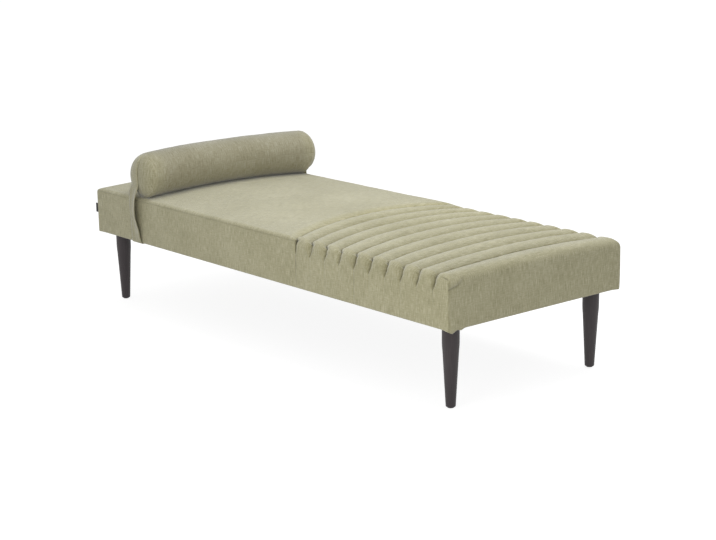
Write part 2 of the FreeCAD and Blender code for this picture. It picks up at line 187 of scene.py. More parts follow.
def colourRamp(tree, source, stops):
    ramp = addNode(tree, "ShaderNodeValToRGB", {"Fac": source})
    while len(ramp.color_ramp.elements) < len(stops):
        ramp.color_ramp.elements.new(0.5)
    for element, (place, colour) in zip(ramp.color_ramp.elements, stops):
        element.position = place
        element.color = (*colour, 1)
    return ramp.outputs["Color"]


upholstery = {
    "dark": (0.225, 0.203, 0.102), "middle": (0.440, 0.411, 0.250), "light": (0.66, 0.63, 0.45),
    "slubWidth": 0.0024, "slubLength": 0.030, "yarnPitch": 0.0017,
    "shader": {
        "Roughness": 0.92, "Specular IOR Level": 0.25,
        "Sheen Weight": 0.55, "Sheen Roughness": 0.45, "Sheen Tint": (0.92, 0.95, 1.0, 1),
    },
    # Tones multiplied into the colour: the roll's and strap's cloth darker and bluer, partly for their turned
    # nap and partly as painted shade; and painted shade in seams and creases
    "napAndShade": (0.72, 0.718, 0.80), "paintedShadeTone": 0.42,
}


def toned(tree, colour, attribute, tone):
    # Towards colour times tone where the piece's attribute rises to 1
    amount = addNode(tree, "ShaderNodeAttribute", attribute_name=attribute).outputs["Fac"]
    mix = addNode(tree, "ShaderNodeMix", data_type="RGBA", blend_type="MULTIPLY")
    tree.links.new(amount, mix.inputs[0])
    tree.links.new(colour, mix.inputs[6])
    mix.inputs[7].default_value = (*tone, 1)
    return mix.outputs[2]


def makeUpholstery(name, look):
    # Heathered plain weave: thick and thin yarns show as fine streaks along the cloth's V direction
    material, tree, shader = startMaterial(name)
    cloth = addNode(tree, "ShaderNodeUVMap", uv_map="threads").outputs["UV"]
    across, along = 1 / look["slubWidth"], 1 / look["slubLength"]
    warp = stretchedNoise(tree, cloth, (across, along, 1), detail=2.5)
    weft = stretchedNoise(tree, cloth, (along * 1.3, across * 0.9, 1), detail=2.0, shift=(3.1, 7.7, 0))
    flecks = stretchedNoise(tree, cloth, (across * 1.9, across * 1.1, 1), detail=1.0, shift=(1.7, 0.4, 0))
    clouds = stretchedNoise(tree, cloth, (7, 5, 1), detail=3.0, shift=(9.2, 2.6, 0))
    tone = weighted(tree, [(warp, 0.46), (weft, 0.22), (flecks, 0.16), (clouds, 0.16)])
    colour = colourRamp(tree, tone, [(0.30, look["dark"]), (0.5, look["middle"]), (0.68, look["light"])])
    # Painted shade: the roll's and strap's cloth darker and bluer, partly for the turned nap; the roll's ends
    # are painted lighter
    colour = toned(tree, colour, "napAndShade", look["napAndShade"])
    # Painted shade in seams, creases and on the lobes' foot-side flanks, darkening the colour where the
    # attribute rises
    colour = toned(tree, colour, "paintedCreaseShade", (look["paintedShadeTone"],) * 3)
    tree.links.new(colour, shader.inputs["Base Color"])
    for key, value in look["shader"].items():
        shader.inputs[key].default_value = value
    turns = 2 * math.pi / look["yarnPitch"] / 20
    settings = {"Vector": cloth, "Scale": turns, "Distortion": 1.2, "Detail": 1.0}
    waves = [addNode(tree, "ShaderNodeTexWave", settings, bands_direction=way).outputs["Fac"] for way in "XY"]
    weave = calculated(tree, "MULTIPLY", *waves)
    height = weighted(tree, [(weave, 0.35), (warp, 0.5), (weft, 0.3), (flecks, 0.3)])
    bump = addNode(tree, "ShaderNodeBump", {"Height": height, "Strength": 0.55, "Distance": 0.0012})
    tree.links.new(bump.outputs[0], shader.inputs["Normal"])
    return material


def grained(tree, shader, tone, stops, grain, roughness, bumpDistance, metallic=0.0):
    tree.links.new(colourRamp(tree, tone, stops), shader.inputs["Base Color"])
    shader.inputs["Roughness"].default_value = roughness
    shader.inputs["Metallic"].default_value = metallic
    bump = addNode(tree, "ShaderNodeBump", {"Height": grain, "Strength": 0.4, "Distance": bumpDistance})
    tree.links.new(bump.outputs[0], shader.inputs["Normal"])


def makeWood(name, stops, scale, roughness, bumpDistance):
    material, tree, shader = startMaterial(name)
    place = addNode(tree, "ShaderNodeTexCoord").outputs["Object"]
    grain = stretchedNoise(tree, place, scale, detail=4.0, roughness=0.65)
    wide = tuple(value * 0.14 for value in scale)
    broad = stretchedNoise(tree, place, wide, detail=2.0, shift=(0.7, 0.3, 0.1))
    tone = weighted(tree, [(grain, 0.6), (broad, 0.4)])
    grained(tree, shader, tone, stops, grain, roughness, bumpDistance)
    return material


def makeSpeckled(name, dark, light, scale, roughness, metallic=0.0, bumpDistance=0.0004):
    material, tree, shader = startMaterial(name)
    place = addNode(tree, "ShaderNodeTexCoord").outputs["Object"]
    grain = stretchedNoise(tree, place, scale, detail=3.0)
    grained(tree, shader, grain, [(0.3, dark), (0.7, light)], grain, roughness, bumpDistance, metallic)
    return material


sageCloth = makeUpholstery("SageUpholstery", upholstery)
stainedWood = makeWood(
    "StainedLegWood",
    [(0.3, (0.019, 0.014, 0.015)), (0.5, (0.031, 0.023, 0.025)), (0.7, (0.046, 0.035, 0.037))],
    (260, 260, 9), 0.50, 0.0003,
)
pineStops = [(0.3, (0.50, 0.34, 0.18)), (0.5, (0.66, 0.49, 0.30)), (0.7, (0.76, 0.60, 0.40))]
pineLengthways = makeWood("PineLengthways", pineStops, (8, 180, 180), 0.6, 0.0003)
pineAcross = makeWood("PineAcross", pineStops, (180, 8, 180), 0.6, 0.0003)
plywoodStops = [(0.3, (0.55, 0.40, 0.24)), (0.7, (0.74, 0.60, 0.42))]
plywood = makeWood("Plywood", plywoodStops, (6, 120, 700), 0.6, 0.0002)
blackCloth = makeSpeckled("BlackNonwoven", (0.008, 0.008, 0.008), (0.035, 0.035, 0.035), (420, 420, 420), 0.9)
zincSteel = makeSpeckled(
    "ZincSteel", (0.52, 0.52, 0.54), (0.68, 0.68, 0.70), (900, 900, 120), 0.38,
    metallic=1.0, bumpDistance=0.0001,
)
glidePlastic = makeSpeckled(
    "GlidePlastic", (0.015, 0.015, 0.015), (0.03, 0.03, 0.03), (700, 700, 700), 0.55,
    bumpDistance=0.0001,
)
threadFinish = makeSpeckled("SewingThread", (0.27, 0.25, 0.17), (0.40, 0.37, 0.26), (1500, 1500, 1500), 0.7)
tagRibbon = makeSpeckled("TagRibbon", (0.012, 0.011, 0.011), (0.03, 0.028, 0.027), (900, 900, 2400), 0.75)

legCorners = ("head_near", "head_far", "foot_near", "foot_far")
nodeFinishes = (
    (pineLengthways, ("side_rail_near", "side_rail_far")),
    (pineAcross, ("head_rail", "foot_rail", "cross_rail_1", "cross_rail_2", "cross_rail_3")),
    (pineAcross, ["corner_block_" + corner for corner in legCorners]),
    (plywood, ("deck_board",)),
    (stainedWood, ["leg_" + corner for corner in legCorners]),
    (glidePlastic, ("leg_glides",)),
    (zincSteel, ("hanger_bolts", "tee_nuts")),
)
for finish, nodeNames in nodeFinishes:
    for nodeName in nodeNames:
        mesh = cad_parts[nodeName].data
        mesh.materials.clear()
        mesh.materials.append(finish)
print("finishes")


# Upholstered pad: the same forms as the part's source, in metres
platform = {
    "halfLength": 0.95, "halfWidth": 0.375, "underside": 0.26, "edge": 0.425, "crown": 0.007,
    "plainCrown": 0.009, "plainCrownFrom": 0.15, "plainCrownOver": 0.45, "headFade": 0.12,
    "channelRounding": 0.030, "plainRounding": 0.014, "endRounding": 0.034,
    "footCorner": (26.0, 6.0), "headCorner": (18.0, 3.0), "firstSeam": 0.236,
    "seamPitch": 0.0715, "seamCount": 10, "bowFirst": 0.140, "bowStep": 0.0115,
    "bowSkewNear": 0.75, "bowSkewFar": 0.45, "bowBeyond": 0.008, "channelDepth": 0.015,
    "notchDepth": 0.024, "plainNotch": 0.004, "notchFoot": 0.370, "notchPower": 0.45,
    "lobePower": 2.0, "lobePowerOnSide": 4.0, "lobeRoot": 0.78, "lobeRootOnSide": 0.74,
    "grooveDepth": 0.0022, "grooveWidth": 0.0021, "fullness": 0.12, "plainRoll": 0.035,
    "sideCreases": (0.3, 0.5, 0.8, 0.4, 1.0, 0.7, 0.45, 0.8, 0.4, 0.6), "longCreases": (0, 4),
    "sideCrease": (0.0035, 0.0011), "seamShade": (0.0030, 1), "sideShade": (0.0020, 0.22),
    "flankShade": (0.011, 0.24), "flankPlace": 0.009, "panelSeam": 0.0115, "panelSink": 0.0011,
    "panelShade": 0.32, "rimReach": 0.012, "rimSink": 0.0015, "broadLumps": (6.0, 0.0011),
    "fineLumps": (28.0, 0.0004), "gathers": (62.0, 0.0006),
    "seeds": {"plain": 3.3, "channels": 8.1},
    "seamGap": 0.0003, "wallMiddle": 0.33, "wallInset": 0.020, "cavityX": 0.9335,
    "cavityY": 0.3585, "cavityTop": 0.361, "cavityFloor": 0.1, "rimX": 0.9472, "rimY": 0.3722,
    "rimHeight": 0.0019,
}
halfLength, halfWidth = platform["halfLength"], platform["halfWidth"]
topEdge, underside = platform["edge"], platform["underside"]
seamCount, endRounding = platform["seamCount"], platform["endRounding"]
gridSteps = {
    "rolled": 8, "across": 127, "notch": 13, "side": 15,
    "plain": 120, "plainTail": 20, "tailLength": 0.045, "lastLobe": 26, "crowding": 1.5,
}
flatY = halfWidth - platform["plainRounding"]
notchTop = topEdge - platform["channelRounding"]


def bowShape(y):
    # A skewed arch that runs out just beyond the long edges, 1 at its highest
    reach = halfWidth + platform["bowBeyond"]
    along = (y + reach) / (2 * reach)
    near, far = platform["bowSkewNear"], platform["bowSkewFar"]
    peak = near / (near + far)
    return (along / peak) ** near * ((1 - along) / (1 - peak)) ** far


def seamX(number, y):
    bow = platform["bowFirst"] - platform["bowStep"] * number
    start = platform["firstSeam"] + platform["seamPitch"] * number
    return start - bow * (bowShape(y) - bowShape(-halfWidth))


def seamAt(number, y):
    return float(seamX(number, np.float64(y)))


def crownLift(x, y, rounding=platform["plainRounding"]):
    # The plain part is fuller than the channelled one
    towardsHead = np.clip((platform["plainCrownFrom"] - x) / platform["plainCrownOver"], 0, 1)
    towardsEnd = np.clip((x + halfLength) / platform["headFade"], 0, 1)
    height = platform["crown"] + platform["plainCrown"] * towardsHead**2 * (3 - 2 * towardsHead) * towardsEnd
    return height * np.clip(1 - (y / (halfWidth - rounding)) ** 2, 0, 1)


def rolledOver(points, rounding):
    # Points on a plain box's faces go to their place on the rounded pad; also gives the outward direction
    radii = np.array([endRounding, rounding, rounding])
    inner = np.stack([
        np.clip(points[:, 0], -halfLength + radii[0], halfLength - radii[0]),
        np.clip(points[:, 1], -halfWidth + rounding, halfWidth - rounding),
        np.minimum(points[:, 2], topEdge - radii[2]),
    ], axis=1)
    past = (points - inner) / radii
    rise = np.clip(past[:, 2], 0, 1)
    tight = np.where(points[:, 0] > 0, platform["footCorner"][0], platform["headCorner"][0])
    soft = np.where(points[:, 0] > 0, platform["footCorner"][1], platform["headCorner"][1])
    power = tight + (soft - tight) * rise
    level = (np.abs(past[:, 0]) ** power + np.abs(past[:, 1]) ** power) ** (1 / power)
    reach = np.hypot(level, rise)
    offset = past / np.maximum(reach, 1e-9)[:, None] * radii
    placed = inner + offset
    outward = offset / np.maximum(np.linalg.norm(offset, axis=1), 1e-9)[:, None]
    # 0 on the top, 1 on a long side
    turn = np.where(rise < 1, math.pi / 2 - np.arctan(rise), np.arctan(np.abs(past[:, 1])))
    overSide = np.where(np.abs(past[:, 1]) > 1e-6, np.sin(turn), 0)
    return placed, outward, np.clip(overSide, 0, 1)


def seamSink(share, place, overSide, fullness, atFirst):
    # share: 0 at the crest of a lobe and 1 at its seam; the notch narrows and ends on the side
    notch = np.where(atFirst, platform["plainNotch"], platform["notchDepth"])
    deep = (platform["channelDepth"] + (notch - platform["channelDepth"]) * overSide) * fullness
    down = np.clip((place[:, 2] - platform["notchFoot"]) / (notchTop - platform["notchFoot"]), 0, 1)
    local = deep * down ** platform["notchPower"]
    power = platform["lobePower"] + (platform["lobePowerOnSide"] - platform["lobePower"]) * overSide
    root = platform["lobeRoot"] + (platform["lobeRootOnSide"] - platform["lobeRoot"]) * overSide
    crest = (1 - np.clip(share, 0, 1) ** power) ** root
    return np.maximum(local - deep * crest, 0)


def crease(distance, width, depth):
    return depth * np.exp(-((distance / width) ** 2))


def softLumps(place, size, depth, seed):
    shift = Vector((seed, seed, seed))
    return depth * np.array([noise.noise(Vector(point) * size + shift) for point in place])


def roundSteps():
    # Steps round a rolled edge, closer together towards the long edge
    count = gridSteps["rolled"]
    steps = [math.tan(math.radians(45) * step / count) for step in range(1, count)]
    return steps + [0.90, 0.945, 0.975, 1.0]


def rowsAcross(rounding):
    edge = halfWidth - rounding
    turned = [edge + rounding * step for step in roundSteps()]
    flat = list(np.linspace(-edge, edge, gridSteps["across"]))
    return np.array([-y for y in reversed(turned)] + flat + turned)


def rowsDown(rounding):
    edge = topEdge - rounding
    turned = [edge + rounding * step for step in roundSteps()][::-1]
    notch = list(np.linspace(edge, platform["notchFoot"] - 0.008, gridSteps["notch"]))
    plain = list(np.linspace(notch[-1], underside + 0.012, gridSteps["side"]))[1:]
    plain += [underside + above for above in (0.009, 0.006, 0.004, 0.002, 0)]
    return np.array(turned + notch + plain)


def startMesh():
    mesh = bmesh.new()
    return mesh, mesh.loops.layers.uv.new("threads")


def addGrid(mesh, uvLayer, places, threads, turned, shades=None):
    rows, columns = places.shape[:2]
    corners = [[mesh.verts.new(places[i, j]) for j in range(columns)] for i in range(rows)]
    if shades is not None:
        layer = mesh.verts.layers.float["paintedCreaseShade"]
        for i in range(rows):
            for j in range(columns):
                corners[i][j][layer] = shades[i, j]
    for i in range(rows - 1):
        for j in range(columns - 1):
            ring = [(i, j), (i + 1, j), (i + 1, j + 1), (i, j + 1)]
            if turned:
                ring.reverse()
            face = mesh.faces.new([corners[a][b] for a, b in ring])
            face.smooth = True
            for loop, (a, b) in zip(face.loops, ring):
                loop[uvLayer].uv = threads[a, b]


def finishObject(name, mesh, material):
    data = bpy.data.meshes.new(name)
    mesh.to_mesh(data)
    mesh.free()
    data.materials.append(material)
    return addObject(name, data)


def applied(item):
    bpy.context.view_layer.update()
    shown = item.evaluated_get(bpy.context.evaluated_depsgraph_get())
    data = bpy.data.meshes.new_from_object(shown)
    item.modifiers.clear()
    old = item.data
    item.data = data
    bpy.data.meshes.remove(old)
    return item


def thickened(item, thickness, even=False):
    wall = item.modifiers.new("Thickness", "SOLIDIFY")
    wall.thickness = thickness
    wall.offset = 0
    wall.use_even_offset = even
    return applied(item)


def hollowed(item, boxes):
    # Room for the timber frame and for the dust cloth
    for halfX, halfY, top in boxes:
        mesh = bmesh.new()
        bmesh.ops.create_cube(mesh, size=2)
        for vertex in mesh.verts:
            z = top if vertex.co.z > 0 else platform["cavityFloor"]
            vertex.co = Vector((vertex.co.x * halfX, vertex.co.y * halfY, z))
        data = bpy.data.meshes.new("cavity")
        mesh.to_mesh(data)
        mesh.free()
        cutter = addObject("cavity", data)
        cut = item.modifiers.new("Cavity", "BOOLEAN")
        cut.operation = "DIFFERENCE"
        cut.solver = "EXACT"
        cut.object = cutter
        applied(item)
        bpy.data.objects.remove(cutter)
    return item


def lobeShares(kind, x, y):
    # How near each point lies to its seam, from 0 at the crest to 1 at the seam, and its lobe's number
    if kind == "plain":
        return 1 - (seamX(0, y) - platform["seamGap"] - x) / platform["plainRoll"], np.zeros_like(x)
    seams = np.stack([seamX(number, y) for number in range(seamCount)])
    share = np.zeros_like(x)
    lobe = np.full_like(x, seamCount)
    for number in range(seamCount - 1):
        inside = (x >= seams[number] - 1e-9) & (x <= seams[number + 1])
        t = (x - seams[number]) / (seams[number + 1] - seams[number])
        share = np.where(inside, np.abs(2 * t - 1), share)
        lobe = np.where(inside, number, lobe)
    last = seams[-1]
    reach = halfLength - endRounding - last
    return np.where(x > last, 1 - (x - last) / reach, share), lobe


boxed = {
    "from": 0.88, "seam": (0.9482, -0.3732), "seamSink": (0.0024, 0.0016),
    "seamShade": (0.0022, 0.55), "topFrom": 0.903, "topHeight": 0.4195, "topFall": 0.2,
    "topSink": (0.0018, 0.0014), "topShade": (0.0018, 0.6), "foldHeight": 0.384,
    "foldEnd": -0.302, "foldSink": (0.0034, 0.0034), "foldSwell": (0.010, 0.0022),
    "foldShade": (0.0026, 0.5),
}


def cornerDetails(place, flat):
    # Near corner of the foot end: boxed corner seam, short top seam and the fold on the end face, each sunk
    # in and with painted shade along it
    x, y, z = place.T
    onSide = flat[:, 1] <= -halfWidth + 1e-6
    corner = np.hypot(x - boxed["seam"][0], y - boxed["seam"][1])
    sink = crease(corner, *boxed["seamSink"])
    shade = crease(corner, *boxed["seamShade"])
    fallen = boxed["topHeight"] - boxed["topFall"] * np.clip(x - 0.905, 0, 1)
    topSeam = np.abs(z - fallen) + np.maximum(boxed["topFrom"] - x, 0)
    topSeam = np.where(onSide & (x > 0.89), topSeam, 1)
    sink += crease(topSeam, *boxed["topSink"])
    shade += crease(topSeam, *boxed["topShade"])
    rise = boxed["foldHeight"] + 0.24 * (y + 0.375) + 2.2 * np.clip(y + 0.345, 0, 1) ** 1.6
    atEnd = flat[:, 0] >= halfLength - 1e-6
    fade = np.clip((boxed["foldEnd"] - y) / 0.035, 0, 1) * atEnd
    above = z - rise
    sink += crease(above, *boxed["foldSink"]) * fade
    sink -= crease(above - 0.012, *boxed["foldSwell"]) * fade
    shade += crease(above, *boxed["foldShade"]) * fade
    return sink, shade


hem = {
    "from": 0.90, "over": 0.04, "folds": ((-0.359, 0.014, 0.0092), (-0.324, 0.010, 0.0050)),
    "foldReach": 0.024,
    "corners": ((0.95, 0.375, 0.0030), (-0.95, -0.375, 0.0012), (-0.95, 0.375, 0.0030)),
    "cornerReach": 0.026,
}


def hemDrop(place):
    # The cloth folded under at the corners hangs a little below the edge
    x, y = place[:, 0], place[:, 1]
    atFoot = np.clip((x - hem["from"]) / hem["over"], 0, 1)
    drop = sum(crease(y - middle, width, deep) for middle, width, deep in hem["folds"])
    drop = drop * atFoot * crease(x - halfLength, hem["foldReach"], 1)
    for cornerX, cornerY, deep in hem["corners"]:
        drop = drop + crease(np.hypot(x - cornerX, y - cornerY), hem["cornerReach"], deep)
    return drop


def padSurface(kind, rounding, box):
    flat = box.reshape(-1, 3)
    place, outward, overSide = rolledOver(flat, rounding)
    share, number = lobeShares(kind, flat[:, 0], flat[:, 1])
    fullness = 1 + platform["fullness"] * np.sin(2.4 * number + 0.7) * np.cos(1.3 * number + 4 * flat[:, 1])
    atFirst = flat[:, 0] < seamX(0, flat[:, 1]) + platform["seamPitch"] / 2
    sink = seamSink(share, place, overSide, np.where(atFirst, 1, fullness), atFirst)
    onSide = np.abs(outward[:, 1]) * (place[:, 2] < notchTop + 0.01)
    below = np.clip((notchTop - place[:, 2]) / 0.03, 0, 1)
    opened = np.clip((place[:, 2] - platform["notchFoot"]) / 0.012, 0, 1)
    shade = np.zeros(len(flat))
    seams = seamCount if kind == "channels" else 1
    for seam, strength in enumerate(platform["sideCreases"][:seams]):
        distance = flat[:, 0] - seamX(seam, flat[:, 1])
        fade = 1 if seam in platform["longCreases"] else np.clip((place[:, 2] - 0.27) / 0.09, 0, 1)
        line = onSide * below * fade * strength
        sink = sink + crease(distance, *platform["sideCrease"]) * line
        sink = sink + crease(distance, platform["grooveWidth"], platform["grooveDepth"]) * opened
        # Painted shade along each seam and side crease
        shade = shade + crease(distance, *platform["seamShade"]) * opened * (0.60 + 0.40 * overSide)
        shade = shade + crease(distance, *platform["sideShade"]) * line
        if kind == "channels":
            # Painted shade: less light reaches the side of each lobe that faces the foot, so that side is
            # painted darker
            flank = crease(distance + platform["flankPlace"], *platform["flankShade"])
            shade = shade + flank * opened * (1 - 0.6 * overSide)
    if kind == "channels":
        atCorner = flat[:, 0] > boxed["from"]
        cornerSink, cornerShade = cornerDetails(place, flat)
        sink = sink + cornerSink * atCorner
        shade = shade + cornerShade * atCorner
    else:
        # Seam between the top panel and the side panels, just under the edge, sunk in and with painted shade
        # along it
        under = crease(place[:, 2] - topEdge + platform["panelSeam"], 0.0018, 1) * (overSide > 0.9)
        sink = sink + platform["panelSink"] * under
        shade = shade + platform["panelShade"] * under
    rim = np.clip((underside + platform["rimReach"] - place[:, 2]) / platform["rimReach"], 0, 1)
    sink = sink + platform["rimSink"] * rim**4
    lumps = softLumps(place, *platform["broadLumps"], platform["seeds"][kind])
    lumps = lumps + softLumps(place, *platform["fineLumps"], 5.2)
    if kind == "channels":
        # Fullness gathered into the seams
        near = np.exp(-((1 - np.clip(share, 0, 1)) / 0.35) ** 2)
        lumps = lumps + near * softLumps(place * np.array([0.35, 1, 1]), *platform["gathers"], 1.9)
    quiet = np.clip((place[:, 2] - underside) / 0.02, 0, 1)
    place = place + outward * (lumps * quiet - sink)[:, None]
    height = (place[:, 2] - underside) / (topEdge - underside)
    place[:, 2] += crownLift(flat[:, 0], flat[:, 1], rounding) * np.clip(height, 0, 1)
    place[:, 2] -= hemDrop(place) * rim
    return place.reshape(box.shape), np.clip(shade, 0, 1).reshape(box.shape[:2])


def seamWall(mesh, edges, low, gap):
    # The upright wall under the first seam, from the cut edge of the skin down to the underside
    path = [low[0]]
    while path[-1] is not low[1]:
        edge = next(edge for edge in path[-1].link_edges if edge in edges)
        edges.discard(edge)
        path.append(edge.other_vert(path[-1]))
    inset = halfWidth - platform["wallInset"]
    middle, bottom, places = [], [], []
    for vertex in path:
        y = min(max(vertex.co.y, -inset), inset)
        if not places or y > places[-1] + 1e-5:
            x = seamAt(0, y) - gap
            middle.append(mesh.verts.new((x, y, platform["wallMiddle"])))
            bottom.append(mesh.verts.new((x, y, underside)))
            places.append(y)
        if vertex is not low[0]:
            ring = [before, vertex, middle[-1], last]
            mesh.faces.new(ring[:3] if last is middle[-1] else ring)
        before, last = vertex, middle[-1]
    for number in range(len(middle) - 1):
        mesh.faces.new((middle[number], middle[number + 1], bottom[number + 1], bottom[number]))
    mesh.faces.new((low[0], middle[0], bottom[0]))
    mesh.faces.new((low[1], bottom[-1], middle[-1]))
    chain = [low[0]] + bottom + [low[1]]
    return [mesh.edges.get(pair) for pair in zip(chain, chain[1:])]


def plainColumns(y):
    # Where the plain pad's columns lie at this width, crowded towards the seam
    startX = -halfLength
    head = startX + endRounding
    seam = seamAt(0, y) - platform["seamGap"]
    turned = [startX + endRounding * (1 - step) for step in roundSteps()][::-1]
    spread = np.linspace(0, 1, gridSteps["plain"])[:-1]
    body = head + spread * (seam - gridSteps["tailLength"] - head)
    tail = gridSteps["tailLength"] * np.linspace(1, 0, gridSteps["plainTail"]) ** gridSteps["crowding"]
    return np.array(turned[:-1] + [head] + list(body[1:]) + list(seam - tail))


def channelColumns(y):
    # Where the channelled pad's columns lie at this width, crowded towards every seam
    shares = np.array([0, 0.014, 0.032, 0.055, 0.085, 0.125, 0.175, 0.235, 0.305, 0.38, 0.45, 0.5])
    lobe = np.concatenate([shares, 1 - shares[-2:0:-1]])
    endX = halfLength
    seams = [seamAt(number, y) for number in range(seamCount)]
    found = []
    for start, end in zip(seams, seams[1:]):
        found += list(start + lobe * (end - start))
    tail = np.linspace(0, 1, gridSteps["lastLobe"]) ** gridSteps["crowding"]
    found += list(seams[-1] + tail * (endX - endRounding - seams[-1]))
    return np.array(found + [endX - endRounding * (1 - step) for step in roundSteps()])


def closePad(mesh, gap):
    # The wall under the first seam, and the underside
    rim = [edge for edge in mesh.edges if edge.is_boundary]
    rimVerts = dict.fromkeys(vertex for edge in rim for vertex in edge.verts)
    low = []
    for side in (-1, 1):
        ends = [
            v for v in rimVerts
            if abs(v.co.z - underside) < 1e-4 and v.co.y * side > halfWidth - 0.008
        ]
        seamEnd = seamAt(0, side * halfWidth)
        low.append(min(ends, key=lambda v: abs(v.co.x - seamEnd)))
    wall = {edge for edge in rim if all(v.co.z > underside + 1e-4 or v in low for v in edge.verts)}
    ground = [edge for edge in rim if edge not in wall]
    bottomLine = seamWall(mesh, wall, low, gap)
    bmesh.ops.triangle_fill(mesh, edges=ground + bottomLine, use_beauty=True, normal=(0, 0, -1))
    bmesh.ops.recalc_face_normals(mesh, faces=mesh.faces)


def makePad(name, kind):
    plain = kind == "plain"
    rounding = platform["plainRounding"] if plain else platform["channelRounding"]
    columns = plainColumns if plain else channelColumns
    ys = rowsAcross(rounding)
    zs = [topEdge] + list(rowsDown(rounding)[1:])
    mesh, uvLayer = startMesh()
    mesh.verts.layers.float.new("paintedCreaseShade")
    top = np.array([[(x, y, topEdge) for x in columns(y)] for y in ys])
    sheets = [(top, top[:, :, :2], True)]
    for side in (-1, 1):
        y = side * halfWidth
        flap = np.array([[(x, y, z) for x in columns(y)] for z in zs])
        threads = np.stack([flap[:, :, 0], y + side * (topEdge - flap[:, :, 2])], axis=2)
        sheets.append((flap, threads, side > 0))
    endX = -halfLength if plain else halfLength
    flap = np.array([[(endX, y, z) for y in ys] for z in zs])
    sheets.append((flap, np.stack([flap[:, :, 1], endX + topEdge - flap[:, :, 2]], axis=2), plain))
    for sheet, threads, turned in sheets:
        places, shades = padSurface(kind, rounding, sheet)
        addGrid(mesh, uvLayer, places, threads, turned, shades)
    bmesh.ops.remove_doubles(mesh, verts=mesh.verts, dist=1e-5)
    closePad(mesh, platform["seamGap"] if plain else 0)
    return hollowed(finishObject(name, mesh, sageCloth), [
        (platform["cavityX"], platform["cavityY"], platform["cavityTop"]),
        (platform["rimX"], platform["rimY"], underside + platform["rimHeight"]),
    ])


plainPad = makePad("plain_pad", "plain")
channelledPad = makePad("channelled_pad", "channels")
for item, nodes, fill in (
    (plainPad, ("plain_cover", "seat_foam", "side_padding_near", "side_padding_far", "head_padding"), 0.95),
    (channelledPad, ("channelled_cover", "channelled_foam", "foot_padding"), 0.9),
):
    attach(item, "platform")
    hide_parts(*nodes)
    print(item.name, len(item.data.polygons))


# Bolster: a soft roll that follows the deck's crown, with a domed disc at each end
bolster = {
    "axisX": -0.655, "axisZ": 0.5215, "droopNear": 0.0128, "droopFar": 0.0090, "radius": 0.0765,
    "nearEnd": -0.3835, "farEnd": 0.3980, "domeTop": 0.052, "domeBottom": 0.034,
    "farDome": 0.042, "domePower": 2.5, "endTaper": 0.0022, "domeRings": 20, "barrelRings": 110,
    "around": 128, "clearance": 0.0006, "seamFromEnd": 0.040, "seamWidth": 0.0028,
    "seamSink": 0.0004, "seamShade": 0.12, "puckers": 0.0004, "puckerReach": 0.018,
    # Painted shade on the roll: its cloth is toned darker inwards from the ends, partly for its turned nap,
    # so the ends are painted lighter
    "lumps": ((9, 0.0014), (30, 0.0006)), "calmUnder": -0.75, "discShare": 0.93, "endNapShade": 0.35,
    "napShadeFrom": 0.008, "napShadeOver": 0.080,
}


def deckHeight(y):
    past = np.maximum(np.abs(y) - flatY, 0)
    radius = platform["plainRounding"]
    rolled = np.sqrt(np.maximum(radius**2 - past**2, 0)) - radius
    return topEdge + crownLift(bolster["axisX"], y) + np.where(past < radius, rolled, -1)


def fromEnds(y):
    return min(y - bolster["nearEnd"], bolster["farEnd"] - y)


def endPlace(side):
    return bolster["nearEnd"] if side < 0 else bolster["farEnd"]


def axisHeight(y):
    droop = bolster["droopNear"] if y < 0 else bolster["droopFar"]
    return bolster["axisZ"] - droop * (abs(y) / 0.35) ** 2.5


def domeDepth(side, turn):
    if side > 0:
        return bolster["farDome"]
    middle = (bolster["domeTop"] + bolster["domeBottom"]) / 2
    return middle + (bolster["domeTop"] - bolster["domeBottom"]) / 2 * math.sin(turn)


def rollRadius(y):
    # Slightly fuller towards the near end, drawn in at the disc's seam
    fuller = 0.0012 * min(max(-y / 0.3, 0), 1)
    return bolster["radius"] + fuller - bolster["endTaper"] * math.exp(-fromEnds(y) / 0.045)


def bolsterPoint(side, along, share, turn):
    # along: y on the roll's straight part, or 1 at the end and 0 where the dome starts
    if side:
        y = endPlace(side) - side * domeDepth(side, turn) * (1 - along)
    else:
        y = along
    radius = rollRadius(y) * share
    height = axisHeight(y)
    contact = float(deckHeight(np.float64(y))) + bolster["clearance"]
    across = radius * math.cos(turn)
    up = radius * math.sin(turn)
    if up < 0 and abs(y) < flatY:
        up *= max((height - contact + 0.0012) / rollRadius(y), 1)
    z = max(height + up, contact) if abs(y) < halfWidth else height + up
    return Vector((bolster["axisX"] + across, y, z))


def bolsterRings():
    # Side, place along and share of the radius for each ring
    power = 2 / bolster["domePower"]
    domeRings, barrelRings = bolster["domeRings"], bolster["barrelRings"]
    turns = [math.radians(90) * step / domeRings for step in range(1, domeRings)]
    dome = [(math.cos(turn) ** power, math.sin(turn) ** power) for turn in turns]
    barrel = [(0, step / (barrelRings - 1), 1.0) for step in range(barrelRings)]
    return [(-1, *ring) for ring in dome] + barrel + [(1, *ring) for ring in reversed(dome)]


